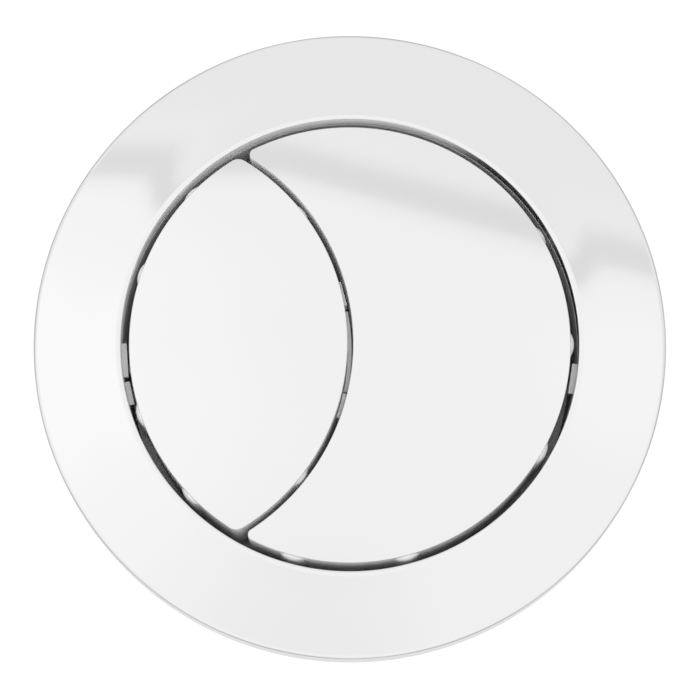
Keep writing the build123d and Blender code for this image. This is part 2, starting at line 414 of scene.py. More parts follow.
# Foam cut from sheet: charcoal, with no gloss at all.
FOAM = ClosedCellFoam(
    "closed_cell_foam_die_cut",
    "#2a2b2e",
    "#222326",
    drift_mm=2.0,
    roughness=(0.85, 0.95),
    gloss_mm=1.0,
    grain_mm=0.42,
    grain_depth_mm=0.16,
)
# Black rubber with a thin grey bloom, as moulded.
RUBBER = Finish(
    "black_rubber_moulded",
    "#1b1b1c",
    "#262627",
    drift_mm=5.0,
    roughness=(0.52, 0.72),
    gloss_mm=2.0,
    grain_mm=0.3,
    grain_depth_mm=0.015,
)
# Bright drawn stainless wire and strip: a hard sheen broken by drawing marks.
SPRING_STEEL = Finish(
    "stainless_spring_steel_drawn",
    "#c6c7ca",
    "#b4b5b9",
    drift_mm=1.6,
    roughness=(0.2, 0.34),
    gloss_mm=0.6,
    grain_mm=0.12,
    grain_depth_mm=0.004,
    metallic=1.0,
)
# Bright zinc plate, faintly blue, with cloudy patches.
ZINC = Finish(
    "steel_bright_zinc_plated",
    "#c3c9d0",
    "#d2d1c8",
    drift_mm=3.5,
    roughness=(0.26, 0.42),
    gloss_mm=1.4,
    grain_mm=0.2,
    grain_depth_mm=0.004,
    metallic=1.0,
)
# Grey polyethylene: waxy, with flow marks from the mould.
POLYETHYLENE = Finish(
    "grey_polyethylene_moulded",
    "#5d6166",
    "#54585d",
    drift_mm=3.0,
    roughness=(0.4, 0.54),
    gloss_mm=1.5,
    grain_mm=0.5,
    grain_depth_mm=0.012,
)


def turned(angle: float) -> Matrix:
    """A turn about Z, by an angle in degrees."""
    return Matrix.Rotation(radians(angle), 4, "Z")


def edges_of(parts: Iterable[BMVert | BMFace]) -> list[BMEdge]:
    """The edges of some faces, or that meet at some vertices: each once, in the same order each run."""
    found = (part.edges if isinstance(part, BMFace) else part.link_edges for part in parts)
    return list(dict.fromkeys(edge for edges in found for edge in edges))


def verts_in(geom: Iterable[BMVert | BMEdge | BMFace]) -> list[BMVert]:
    """The vertices among an operator's results."""
    return [item for item in geom if isinstance(item, BMVert)]


def lathe(
    bm: BMesh, profile: Sequence[tuple[float, float]], steps: int, centre_x: float = 0.0, closed: bool = True
) -> None:
    """Spin a profile round an upright axis.

    Args:
        bm: the mesh that gets the shape.
        profile: the profile's corners, each a radius and a height.
        steps: how many steps the turn takes.
        centre_x: where the axis stands.
        closed: whether the profile is a loop, as a ring's is, or a chain from axis to axis.
    """
    corners = [bm.verts.new((centre_x + radius, 0, height)) for radius, height in profile]
    ends = corners[1:] + corners[:1] if closed else corners[1:]
    edges = [bm.edges.new(pair) for pair in zip(corners, ends)]
    bmesh.ops.spin(
        bm, geom=corners + edges, cent=(centre_x, 0, 0), axis=UP, angle=tau, steps=steps, use_merge=True
    )
    bmesh.ops.remove_doubles(bm, verts=bm.verts, dist=WELD)


def round_rings(
    bm: BMesh, rings: Iterable[tuple[float, float]], width: float, segments: int, centre_x: float = 0.0
) -> None:
    """Round the edges that run round the axis at given places.

    Args:
        bm: the lathed mesh.
        rings: each ring's radius and height.
        width: how far the rounding reaches.
        segments: how many facets it has.
        centre_x: where the axis stands.
    """
    axis = Vector((centre_x, 0))

    def lies_on(vert: BMVert, radius: float, height: float) -> bool:
        """Whether a vertex is on a ring."""
        off_axis = abs((vert.co.xy - axis).length - radius)
        return off_axis < ON_RING and abs(vert.co.z - height) < ON_RING

    for radius, height in rings:
        edges = [edge for edge in bm.edges if all(lies_on(vert, radius, height) for vert in edge.verts)]
        soften(bm, edges, width, segments)


def soften(bm: BMesh, edges: Sequence[BMEdge], width: float, segments: int) -> None:
    """Round edges off with a bevel of several facets."""
    bmesh.ops.bevel(
        bm, geom=edges, offset=width, segments=segments, profile=0.5, affect="EDGES", material=-1
    )


def block(
    bm: BMesh, low: Vector, high: Vector, edge: float, place: Matrix, facets: int = 2
) -> list[BMVert]:
    """Add a block with rounded edges.

    Args:
        bm: the mesh that gets the block.
        low: its lowest corner before it is put in place.
        high: its highest corner before it is put in place.
        edge: how far its rounding reaches.
        place: the turn and shift that put it in place.
        facets: how many facets its rounding has.

    Returns:
        The block's vertices.
    """
    known = set(bm.verts)
    shape = Matrix.Translation((low + high) / 2) @ Matrix.Diagonal((*(high - low), 1))
    fresh = bmesh.ops.create_cube(bm, size=1, matrix=place @ shape)["verts"]
    soften(bm, edges_of(fresh), edge, facets)
    return [vert for vert in bm.verts if vert not in known]


def coil(bm: BMesh, geom: list, centre_x: float, turns: float, rise: float, steps: int) -> list:
    """Sweep a profile along a right-handed helix.

    Args:
        bm: the mesh that holds the profile.
        geom: the profile's vertices and edges.
        centre_x: where the helix's axis stands.
        turns: how many turns it makes.
        rise: how far it climbs in all.
        steps: how many steps it takes.

    Returns:
        The profile at the helix's end.
    """
    swept = bmesh.ops.spin(
        bm,
        geom=geom,
        cent=(centre_x, 0, 0),
        axis=UP,
        dvec=(0, 0, rise / steps),
        angle=tau * turns,
        steps=steps,
    )
    return swept["geom_last"]


def stack(bm: BMesh, pitch: float, count: int) -> None:
    """Stack copies of one turn of a thread on itself, and join them.

    Args:
        bm: the mesh that holds the turn.
        pitch: how far each copy lies above the last.
        count: how many turns there are in the end.
    """
    turn = [*bm.verts, *bm.edges, *bm.faces]
    for step in range(1, count):
        copied = bmesh.ops.duplicate(bm, geom=turn)["geom"]
        bmesh.ops.translate(bm, vec=UP * pitch * step, verts=verts_in(copied))
    bmesh.ops.remove_doubles(bm, verts=bm.verts, dist=WELD)


def cut_level(bm: BMesh, height: float, keep_above: bool) -> None:
    """Cut a mesh off at a height and close the cut.

    Args:
        bm: the mesh.
        height: where it is cut.
        keep_above: which part stays.
    """
    slice_off(bm, Vector((0, 0, height)), -UP if keep_above else UP)


def slice_off(bm: BMesh, point: Vector, outward: Vector, faces: Iterable[BMFace] | None = None) -> None:
    """Cut away what lies beyond a plane, and close the cut.

    Args:
        bm: the mesh.
        point: a point on the plane.
        outward: the plane's normal, towards what goes.
        faces: the part of the mesh that is cut, or all of it.
    """
    chosen = list(bm.faces if faces is None else faces)
    verts = dict.fromkeys(vert for face in chosen for vert in face.verts)
    bmesh.ops.bisect_plane(
        bm,
        geom=[*verts, *edges_of(chosen), *chosen],
        dist=ON_CUT,
        plane_co=point,
        plane_no=outward,
        clear_outer=True,
    )
    close_rims(bm)


def close_rims(bm: BMesh) -> None:
    """Put a face in every open rim."""
    rim = [edge for edge in bm.edges if edge.is_boundary]
    bmesh.ops.holes_fill(bm, edges=rim)


def finish_piece(
    bm: BMesh, name: str, body: Body, finishes: Sequence[Finish], nodes: Sequence[str]
) -> Object:
    """Turn a mesh drawn in millimetres into a piece that rides on a body.

    Args:
        bm: the drawn mesh, which is used up.
        name: the piece's name.
        body: the body that it rides on.
        finishes: its surfaces, in the order of its faces' material numbers.
        nodes: the CAD nodes that it replaces.

    Returns:
        The piece.
    """
    bmesh.ops.remove_doubles(bm, verts=bm.verts, dist=WELD)
    close_rims(bm)
    bmesh.ops.recalc_face_normals(bm, faces=bm.faces)
    bmesh.ops.scale(bm, vec=(MM, MM, MM), verts=bm.verts)
    for face in bm.faces:
        face.smooth = True
    mesh = bpy.data.meshes.new(name)
    bm.to_mesh(mesh)
    bm.free()
    mesh.set_sharp_from_angle(angle=CREASE)
    for finish in finishes:
        mesh.materials.append(finish.material())
    piece = bpy.data.objects.new(name, mesh)
    bpy.context.scene.collection.objects.link(piece)
    flats = piece.modifiers.new("true_flats", "WEIGHTED_NORMAL")
    flats.keep_sharp = True
    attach(piece, body.value)
    if nodes:
        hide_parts(*nodes)
    LOG.info("%s rides on %s, %d faces", name, body.value, len(mesh.polygons))
    return piece


class Coat(IntEnum):
    """The coats of a chromed piece, by its faces' material numbers."""

    BRIGHT = 0
    GAP = 1
    KEY = 2
    WALL = 3


COATS = {Coat.BRIGHT: CHROME, Coat.GAP: DULL_CHROME, Coat.KEY: KEY_CHROME_PAINTED_SHADE, Coat.WALL: WALL_CHROME}


@dataclass
class Bezel:
    """The chromed ring that covers the hole in the lid."""

    radius: float = 36.75
    opening: float = 26.6
    face: float = 4.9
    rim_foot: float = 0.3
    rim_inner: float = 34.3
    skin: float = 2.9
    lip_radius: float = 28.0
    lip_foot: float = 2.1
    steps: int = 288
    rim_round: float = 0.34
    hole_round: float = 0.1
    top_facets: int = 5
    foot_round: float = 0.2
    foot_facets: int = 3
    # The face dips towards the rim: most of that is close to the hole, and the outer half is almost level.
    face_sink: tuple[tuple[float, float], ...] = (
        (27.3, 0.0075),
        (28.4, 0.0166),
        (29.2, 0.021),
        (30.0, 0.024),
        (31.0, 0.0258),
        (33.0, 0.0272),
        (35.0, 0.0286),
        (36.25, 0.0296),
    )
    rim_sink: float = 0.03
    lug_count: int = 6
    lug_stand: float = 0.7
    lug_width: float = 7.0
    lug_top: float = 1.4
    lug_foot: float = 0.6
    lug_round: float = 0.2
    # Each key on the lip beside a button: its bearing in degrees, width and height.
    keys: tuple[tuple[float, float, float], ...] = ((183.8, 4.0, 0.9), (192.2, 2.8, 0.3), (351.6, 3.6, 0.3))
    key_stand: float = 0.65
    key_round: float = 0.1

    def build(self) -> None:
        """Lathe the ring, round its edges, and add the snap lugs inside its rim and the keys on its lip."""
        bm = bmesh.new()
        rim_top = self.face - self.rim_sink
        face = [(radius, self.face - sink) for radius, sink in self.face_sink]
        feet = [(self.radius, self.rim_foot), (self.rim_inner, self.rim_foot)]
        ceiling = [(self.rim_inner, self.skin), (self.lip_radius, self.skin)]
        lip = [(self.lip_radius, self.lip_foot), (self.opening, self.lip_foot)]
        profile = [(self.opening, self.face), *face, (self.radius, rim_top), *feet, *ceiling, *lip]
        lathe(bm, profile, self.steps)
        round_rings(bm, [(self.opening, self.face)], self.hole_round, self.top_facets)
        round_rings(bm, [(self.radius, rim_top)], self.rim_round, self.top_facets)
        round_rings(bm, feet + lip, self.foot_round, self.foot_facets)
        for lug in range(self.lug_count):
            low = Vector((self.rim_inner - self.lug_stand, -self.lug_width / 2, self.lug_foot))
            high = Vector((self.rim_inner + self.lug_stand, self.lug_width / 2, self.lug_top))
            block(bm, low, high, self.lug_round, turned(lug * 360 / self.lug_count))
        for ring_face in bm.faces:
            ring_face.material_index = self.coat(ring_face.calc_center_median())
        for angle, width, height in self.keys:
            low = Vector((self.opening - self.key_stand, -width / 2, self.lip_foot))
            high = Vector((self.opening + self.key_stand, width / 2, self.lip_foot + height))
            corners = block(bm, low, high, self.key_round, turned(angle))
            # The keys' faces take the key coat, whose grey colour is painted shade.
            for key_face in {face for corner in corners for face in corner.link_faces}:
                key_face.material_index = Coat.KEY
        finish_piece(bm, "bezel_ring", Body.HOUSING, list(COATS.values()), ["bezel"])

    def coat(self, place: Vector) -> Coat:
        """Choose the coat of a place on the ring: bright on the face and the rim, and thin below the face.

        Args:
            place: the place.

        Returns:
            Its coat.
        """
        reach = place.xy.length
        if reach >= self.radius - self.rim_round or place.z >= self.face - self.hole_round:
            return Coat.BRIGHT
        return Coat.WALL if reach < self.opening + WELD else Coat.GAP


@dataclass(frozen=True)
class Arc:
    """One arc of an outline: its centre and the angle that it turns through."""

    centre: Vector
    sweep: float
    least_steps: int = 12
    step: float = radians(1.25)

    @property
    def steps(self) -> int:
        """Enough steps for a smooth edge, on small arcs too."""
        return max(self.least_steps, round(abs(self.sweep) / self.step))


def other_leg(hypotenuse: float, leg: float) -> float:
    """The other leg of a right triangle."""
    return sqrt(hypotenuse**2 - leg**2)


def meeting(radius: float, centre_x: float, other_radius: float) -> Vector:
    """The upper point where a circle round the origin meets one round (centre_x, 0)."""
    x = (radius**2 - other_radius**2 + centre_x**2) / (2 * centre_x)
    return Vector((x, other_leg(radius, x), 0))


def bearing(point: Vector, centre: Vector) -> float:
    """The direction of a point from a centre, as an angle about Z."""
    return atan2(point.y - centre.y, point.x - centre.x)


@dataclass(frozen=True)
class Outline:
    """A button's plan: the lens inside both circles, or the disc less the divider's circle.

    Both are alike above and below the X axis, and tip is the radius of their two pointed ends.
    """

    side: Side
    rim: float
    divider: float
    centre_x: float
    tip: float = 0.0

    def arcs(self) -> tuple[Vector, list[Arc]]:
        """Work out where the outline starts, and its arcs in order."""
        lens = self.side is Side.HALF
        origin = Vector((0, 0, 0))
        centre = Vector((self.centre_x, 0, 0))
        reach = self.divider - self.tip if lens else self.divider + self.tip
        pivot = meeting(self.rim - self.tip, self.centre_x, reach)
        on_rim = pivot * (self.rim / (self.rim - self.tip))
        on_divider = centre + (pivot - centre) * (self.divider / reach)
        flip = Matrix.Scale(-1, 3, (0, 1, 0))
        rim_angle = bearing(on_rim, origin)
        divider_angle = bearing(on_divider, centre)
        point = bearing(on_rim, pivot) - bearing(on_divider, pivot)
        if lens:
            start = flip @ on_divider
            long_arcs = [Arc(centre, 2 * divider_angle), Arc(origin, tau - 2 * rim_angle)]
        else:
            start = flip @ on_rim
            long_arcs = [Arc(origin, 2 * rim_angle), Arc(centre, -2 * divider_angle)]
        if self.tip == 0:
            return start, long_arcs
        turn = point % tau if lens else -point % tau
        tips = [Arc(pivot, turn), Arc(flip @ pivot, turn)]
        return start, [arc for pair in zip(long_arcs, tips) for arc in pair]

    def trace(self, bm: BMesh, height: float) -> list[BMEdge]:
        """Draw the outline as one closed chain of arcs.

        Args:
            bm: the mesh that gets the outline.
            height: the height that it lies at.

        Returns:
            The outline's edges.
        """
        known_edges = set(bm.edges)
        known_verts = set(bm.verts)
        lift = UP * height
        start, arcs = self.arcs()
        head = bm.verts.new(start + lift)
        for arc in arcs:
            spun = bmesh.ops.spin(
                bm, geom=[head], cent=arc.centre + lift, axis=UP, angle=arc.sweep, steps=arc.steps
            )
            head = verts_in(spun["geom_last"])[0]
        chain = [vert for vert in bm.verts if vert not in known_verts]
        bmesh.ops.remove_doubles(bm, verts=chain, dist=CHAIN_WELD)
        return [edge for edge in bm.edges if edge not in known_edges]


@dataclass
class FlushButton:
    """A hollow chromed button with its guide nubs, ribs, boss, spring cup and webs."""

    side: Side
    outline: Outline
    hollow: Outline
    rim_nubs: tuple[float, ...]
    divider_nubs: tuple[float, ...] = ()
    spacers: tuple[float, ...] = ()
    tab: bool = False
    ledge_length: float = 0.0
    face: float = 4.9
    foot: float = -6.6
    cap_underside: float = 2.9
    edge_round: float = 0.1
    edge_facets: int = 4
    nub_radius: float = 2.5
    nub_stand: float = 0.47
    nub_round: float = 1.2
    nub_drop: float = 0.15
    nub_steps: int = 48
    nub_facets: int = 6
    divider_stand: float = 0.34
    spacer_stand: float = 0.47
    skirt: float = 1.5
    spacer_width: float = 3.0
    spacer_drop: float = 4.8
    ledge_drop: float = 6.5
    ledge_steps: int = 24
    tab_width: float = 4.0
    tab_stand: float = 0.6
    tab_drop: float = 10.0
    rib_round: float = 0.12
    socket: float = 4.05
    boss: float = 5.6
    boss_foot: float = -4.9
    cup: tuple[float, float] = (8.6, 9.8)
    cup_foot: float = -0.1
    stem_steps: int = 64
    web: float = 1.2
    web_round: float = 0.15
    sunk: float = 0.4

    def build(self) -> None:
        """Draw the button's parts in one mesh and finish it."""
        bm = bmesh.new()
        self.shell(bm)
        divider_centre = Matrix.Translation((self.outline.centre_x, 0, 0))
        for angle in self.rim_nubs:
            self.nub(bm, turned(angle), self.outline.rim + self.nub_stand)
        for angle in self.divider_nubs:
            self.nub(bm, divider_centre @ turned(angle), self.outline.divider + self.divider_stand)
        for angle in self.spacers:
            place = divider_centre @ turned(angle)
            self.rib(bm, place, self.outline.divider, self.spacer_stand, self.spacer_width, self.spacer_drop)
        if self.ledge_length:
            self.ledge(bm)
        if self.tab:
            self.rib(bm, turned(180), self.outline.rim, self.tab_stand, self.tab_width, self.tab_drop)
        self.underside(bm)
        for face in bm.faces:
            below = face.calc_center_median().z < self.face - self.edge_round
            face.material_index = Coat.GAP if below else Coat.BRIGHT
        side = self.side.value
        coats = (COATS[Coat.BRIGHT], COATS[Coat.GAP])
        finish_piece(bm, f"{side}_button_cap", self.side.body, coats, [f"{side}_flush_button"])

    def shell(self, bm: BMesh) -> None:
        """Raise the outline, round its top edge and hollow it from below."""
        outer = self.outline.trace(bm, self.foot)
        base = bmesh.ops.contextual_create(bm, geom=outer)["faces"]
        raised = bmesh.ops.extrude_face_region(bm, geom=base)["geom"]
        tops = [item for item in raised if isinstance(item, BMFace)]
        bmesh.ops.translate(bm, vec=UP * (self.face - self.foot), verts=verts_in(raised))
        soften(bm, list(tops[0].edges), self.edge_round, self.edge_facets)
        soles = [face for face in bm.faces if all(abs(vert.co.z - self.foot) < WELD for vert in face.verts)]
        bmesh.ops.delete(bm, geom=soles, context="FACES_ONLY")
        inner = self.hollow.trace(bm, self.foot)
        loops = [edge for edge in bm.edges if all(abs(vert.co.z - self.foot) < WELD for vert in edge.verts)]
        bmesh.ops.triangle_fill(bm, edges=loops, use_beauty=True)
        lining = bmesh.ops.extrude_edge_only(bm, edges=inner)["geom"]
        bmesh.ops.translate(bm, vec=UP * (self.cap_underside - self.foot), verts=verts_in(lining))
        bmesh.ops.contextual_create(bm, geom=[item for item in lining if isinstance(item, BMEdge)])

    def nub(self, bm: BMesh, place: Matrix, reach: float) -> None:
        """Add a round-headed guide nub, cut off inside the skirt.

        Args:
            bm: the button's mesh.
            place: the turn and shift from the X axis to the nub's bearing.
            reach: how far out the nub reaches along that bearing.
        """
        known = set(bm.faces)
        top = self.face - self.nub_drop
        middle = Vector((reach - self.nub_radius, 0, (top + self.foot) / 2))
        fresh = bmesh.ops.create_cone(
            bm,
            cap_ends=True,
            segments=self.nub_steps,
            radius1=self.nub_radius,
            radius2=self.nub_radius,
            depth=top - self.foot,
            matrix=place @ Matrix.Translation(middle),
        )["verts"]
        crown = [edge for edge in edges_of(fresh) if all(vert.co.z > top - WELD for vert in edge.verts)]
        soften(bm, crown, self.nub_round, self.nub_facets)
        faces = [face for face in bm.faces if face not in known]
        inside = place @ Vector((reach - self.nub_stand - self.skirt / 2, 0, 0))
        slice_off(bm, inside, place.to_3x3() @ Vector((-1, 0, 0)), faces)

    def rib(self, bm: BMesh, place: Matrix, radius: float, stand: float, width: float, drop: float) -> None:
        """Add an upright rib on the skirt.

        Args:
            bm: the button's mesh.
            place: the turn and shift from the X axis to the rib's bearing.
            radius: where the skirt's surface is along that bearing.
            stand: how far the rib stands out.
            width: its width.
            drop: how far its flat top lies below the button's face.
        """
        low = Vector((radius - self.skirt / 2, -width / 2, self.foot))
        high = Vector((radius + stand, width / 2, self.face - drop))
        block(bm, low, high, self.rib_round, place)

    def ledge(self, bm: BMesh) -> None:
        """Add a curved ledge on the divider's wall, between the spacer ribs."""
        centre = Vector((self.outline.centre_x, 0, 0))
        inner = self.outline.divider - self.skirt / 2
        outer = self.outline.divider + self.spacer_stand
        top = self.face - self.ledge_drop
        half_angle = self.ledge_length / 2 / self.outline.divider
        section = [(inner, self.foot), (outer, self.foot), (outer, top), (inner, top)]
        turn = Matrix.Rotation(-half_angle, 3, "Z")
        corners = [bm.verts.new(centre + turn @ Vector((reach, 0, height))) for reach, height in section]
        start = bm.faces.new(corners)
        bmesh.ops.spin(
            bm,
            geom=[start, *start.edges, *corners],
            cent=centre,
            axis=UP,
            angle=2 * half_angle,
            steps=self.ledge_steps,
        )

    def underside(self, bm: BMesh) -> None:
        """Add the plunger's boss, the spring's cup and the webs under the cap."""
        stem_x = self.side.stem_x
        top = self.cap_underside + self.sunk
        for inner, outer, foot in ((self.socket, self.boss, self.boss_foot), (*self.cup, self.cup_foot)):
            section = [(inner, top), (outer, top), (outer, foot), (inner, foot)]
            lathe(bm, section, self.stem_steps, stem_x)
        middle = self.skirt / 2
        across = sorted((self.side.sign * self.outline.rim, self.outline.centre_x + self.outline.divider))
        chord = other_leg(self.outline.rim, stem_x)
        if self.side is Side.HALF:
            chord = min(chord, other_leg(self.outline.divider, stem_x - self.outline.centre_x))
        near = self.cup[1] - self.sunk
        half_web = self.web / 2
        spans = [
            ((across[0] + middle, -half_web), (stem_x - near, half_web)),
            ((stem_x + near, -half_web), (across[1] - middle, half_web)),
            ((stem_x - half_web, near), (stem_x + half_web, chord - middle)),
            ((stem_x - half_web, middle - chord), (stem_x + half_web, -near)),
        ]
        for low, high in spans:
            low_corner = Vector((*low, self.cup_foot))
            block(bm, low_corner, Vector((*high, top)), self.web_round, Matrix.Identity(4))


def ridge(bm: BMesh, root: float, crest: float, widths: tuple[float, float], height: float) -> list:
    """Draw a thread's closed section on the X axis.

    Args:
        bm: the mesh that gets the section.
        root: the radius that the thread stands on.
        crest: the radius that it reaches.
        widths: its width at the root and at the crest.
        height: the height of its middle.

    Returns:
        The section's vertices and edges.
    """
    base, tip = widths
    corners = ((root, -base / 2), (crest, -tip / 2), (crest, tip / 2), (root, base / 2))
    verts = [bm.verts.new((radius, 0, height + rise)) for radius, rise in corners]
    edges = [bm.edges.new(pair) for pair in zip(verts, verts[1:] + verts[:1])]
    return verts + edges


@dataclass(frozen=True)
class Thread:
    """The thread that tail and nut share: its pitch, its ridges and where it starts."""

    pitch: float = 3.0
    widths: tuple[float, float] = (2.0, 0.9)
    start: float = -41.0
    steps: int = 96

    def wind(self, bm: BMesh, root: float, crest: float, start: float, turns: int) -> None:
        """Wind a ridge.

        Args:
            bm: the mesh that gets the ridge.
            root: the radius that it stands on.
            crest: the radius that it reaches.
            start: the height at which it starts, over the +X axis.
            turns: how many turns it makes.
        """
        section = ridge(bm, root, crest, self.widths, start)
        coil(bm, section, 0.0, 1, self.pitch, self.steps)
        stack(bm, self.pitch, turns)


@dataclass
class TailThread:
    """The coarse moulded thread round the housing's tail."""

    thread: Thread
    root: float = 28.5
    crest: float = 29.15
    top: float = -4.2
    bottom: float = -37.5
    turns: int = 14

    def build(self) -> None:
        """Wind the ridge past both ends and cut it level there."""
        bm = bmesh.new()
        self.thread.wind(bm, self.root, self.crest, self.thread.start, self.turns)
        cut_level(bm, self.top, False)
        cut_level(bm, self.bottom, True)
        finish_piece(bm, "tail_thread", Body.HOUSING, (WHITE_ABS,), [])


@dataclass
class FlatRing:
    """A flat ring with softened edges: the flange, the gasket or the washer."""

    node: str
    body: Body
    slot: Slot
    finish: Finish
    inner: float
    outer: float
    foot: float
    top: float
    edge: float
    steps: int = 192
    facets: int = 3

    def build(self) -> None:
        """Lathe the ring and round its four edges."""
        bm = bmesh.new()
        feet = [(self.inner, self.foot), (self.outer, self.foot)]
        corners = [*feet, (self.outer, self.top), (self.inner, self.top)]
        lathe(bm, corners, self.steps)
        round_rings(bm, corners, self.edge, self.facets)
        finish_piece(bm, f"{self.node}_ring", self.body, (self.finish,), [self.node])


@dataclass
class BackNut:
    """The flanged ring nut, with grips outside and a thread inside."""

    thread: Thread
    bore: float = 29.35
    crest: float = 28.8
    wall: float = 31.75
    flange: float = 34.75
    foot: float = -26.0
    flange_foot: float = -18.6
    top: float = -16.0
    grips: int = 12
    grip_width: float = 5.0
    grip_reach: float = 33.85
    grip_round: float = 0.7
    sunk: float = 0.5
    steps: int = 192
    edge_round: float = 0.4
    edge_facets: int = 3
    flange_round: float = 0.5
    flange_facets: int = 4
    thread_turns: int = 6
    # How many turns above the tail thread's start this one starts, half a pitch off it.
    thread_lead: float = 4.5

    def build(self) -> None:
        """Wind the inner thread, then lathe the nut and add its grips."""
        bm = bmesh.new()
        start = self.thread.start + self.thread.pitch * self.thread_lead
        self.thread.wind(bm, self.bore + self.sunk / 2, self.crest, start, self.thread_turns)
        cut_level(bm, self.top - self.sunk, False)
        cut_level(bm, self.foot + self.sunk, True)
        corners = [
            (self.bore, self.foot),
            (self.wall, self.foot),
            (self.wall, self.flange_foot),
            (self.flange, self.flange_foot),
            (self.flange, self.top),
            (self.bore, self.top),
        ]
        lathe(bm, corners, self.steps)
        round_rings(bm, [corners[0], corners[1], corners[5]], self.edge_round, self.edge_facets)
        round_rings(bm, [corners[3], corners[4]], self.flange_round, self.flange_facets)
        low = Vector((self.wall - self.sunk, -self.grip_width / 2, self.foot))
        high = Vector((self.grip_reach, self.grip_width / 2, self.flange_foot + self.sunk))
        for grip in range(self.grips):
            block(bm, low, high, self.grip_round, turned(grip * 360 / self.grips))
        finish_piece(bm, "back_nut_ring", Body.NUT, (GREY_ABS,), ["back_nut"])


@dataclass
class ReturnSpring:
    """A compression spring of round wire with closed, ground ends."""

    side: Side
    radius: float = 7.5
    wire: float = 0.5
    wire_sides: int = 14
    foot: float = -16.45
    top: float = 2.85
    end_rise: float = 1.02
    active_turns: int = 4
    ground: float = 0.15
    travel: float = 8.0
    steps: int = 48

    def build(self) -> None:
        """Wind both end coils and the open coils between them, then grind the ends."""
        bm = bmesh.new()
        stem_x = self.side.stem_x
        first = self.foot + self.wire - self.ground
        open_rise = self.top - self.foot - 2 * (self.wire - self.ground) - 2 * self.end_rise
        place = Matrix.Translation((stem_x + self.radius, 0, first)) @ Matrix.Rotation(pi / 2, 4, "X")
        bmesh.ops.create_circle(bm, segments=self.wire_sides, radius=self.wire, matrix=place)
        section = [*bm.verts, *bm.edges]
        for turns, rise in ((1, self.end_rise), (self.active_turns, open_rise), (1, self.end_rise)):
            section = coil(bm, section, stem_x, turns, rise, turns * self.steps)
        close_rims(bm)
        cut_level(bm, self.top, False)
        cut_level(bm, self.foot, True)
        name = self.side.value
        piece = finish_piece(
            bm, f"{name}_return_spring", Body.HOUSING, (SPRING_STEEL,), [f"{name}_spring"]
        )
        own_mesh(piece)


@dataclass
class PushRod:
    """A threaded rod, the nut that locks it in its plunger and the foot on its end."""

    side: Side
    top: float = -21.6
    bottom: float = -83.6
    crest: float = 2.5
    root: float = 2.06
    pitch: float = 0.8
    flank_share: float = 0.4
    steps: int = 28
    nut_top: float = -32.6
    nut_height: float = 4.0
    nut_flats: float = 8.0
    nut_sides: int = 6
    bore: float = 2.55
    bore_steps: int = 40
    # The nut's chamfer: its slope, how far out on the flats it starts, and the cuts that it is made of.
    chamfer: float = radians(30)
    chamfer_start: float = 0.98
    chamfer_cuts: int = 30
    foot_radius: float = 4.5
    foot_grip: float = 7.0
    foot_sole: float = 2.5
    foot_steps: int = 72
    # How far the foot's edges are rounded, and their facets: at the sole, at the top and round the bore.
    foot_rounds: tuple[tuple[float, int], ...] = ((1.4, 6), (0.8, 5), (0.3, 3))

    def build(self) -> None:
        """Make the rod, the nut and the foot."""
        self.rod()
        self.lock_nut()
        self.foot()

    def rod(self) -> None:
        """Wind one pitch of thread up the rod and cut it level at both ends."""
        bm = bmesh.new()
        flank = self.pitch * self.flank_share
        land = self.pitch / 2 - flank
        rises = (0.0, land, land + flank, 2 * land + flank, self.pitch)
        radii = (self.root, self.root, self.crest, self.crest, self.root)
        start = self.bottom - self.pitch
        stem_x = self.side.stem_x
        verts = [bm.verts.new((stem_x + radius, 0, start + rise)) for radius, rise in zip(radii, rises)]
        edges = [bm.edges.new(pair) for pair in zip(verts, verts[1:])]
        coil(bm, verts + edges, stem_x, 1, self.pitch, self.steps)
        stack(bm, self.pitch, round((self.top - self.bottom) / self.pitch) + 2)
        cut_level(bm, self.top, False)
        cut_level(bm, self.bottom, True)
        self.finish(bm, "threaded_rod", Slot.ZINC, ZINC, "push_rod")

    def lock_nut(self) -> None:
        """Make a hexagon with a round bore, and chamfer its corners at both ends."""
        bm = bmesh.new()
        foot = self.nut_top - self.nut_height
        place = Matrix.Translation((self.side.stem_x, 0, foot))
        corner = self.nut_flats / 2 / cos(pi / self.nut_sides)
        bmesh.ops.create_circle(bm, segments=self.nut_sides, radius=corner, matrix=place)
        bmesh.ops.create_circle(bm, segments=self.bore_steps, radius=self.bore, matrix=place)
        bmesh.ops.triangle_fill(bm, edges=bm.edges, use_beauty=True)
        raised = bmesh.ops.extrude_face_region(bm, geom=bm.faces[:])["geom"]
        bmesh.ops.translate(bm, vec=UP * self.nut_height, verts=verts_in(raised))
        reach = self.nut_flats / 2 * self.chamfer_start
        for cut in range(self.chamfer_cuts):
            around = Matrix.Rotation(cut * tau / self.chamfer_cuts, 3, "Z")
            for level, way in ((self.nut_top, 1), (foot, -1)):
                edge = around @ Vector((reach, 0, 0))
                outward = around @ Vector((sin(self.chamfer), 0, way * cos(self.chamfer)))
                slice_off(bm, edge + Vector((self.side.stem_x, 0, level)), outward)
        self.finish(bm, "hexagon_lock_nut", Slot.ZINC, ZINC, "rod_lock_nut")

    def foot(self) -> None:
        """Lathe the foot with a bore for the rod, and round its edges."""
        bm = bmesh.new()
        sole = self.bottom - self.foot_sole
        top = self.bottom + self.foot_grip
        rim = [(self.foot_radius, sole), (self.foot_radius, top)]
        bore = [(self.bore, top), (self.bore, self.bottom), (0.0, self.bottom)]
        lathe(bm, [(0.0, sole), *rim, *bore], self.foot_steps, self.side.stem_x, closed=False)
        for ring, (width, facets) in zip((*rim, bore[0]), self.foot_rounds):
            round_rings(bm, [ring], width, facets, self.side.stem_x)
        self.finish(bm, "moulded_rod_foot", Slot.POLYETHYLENE, POLYETHYLENE, "rod_tip")

    def finish(self, bm: BMesh, name: str, slot: Slot, finish: Finish, node: str) -> None:
        """Finish one of the rod's pieces under its side's name."""
        side = self.side.value
        finish_piece(bm, f"{side}_{name}", self.side.body, (finish,), [f"{side}_{node}"])


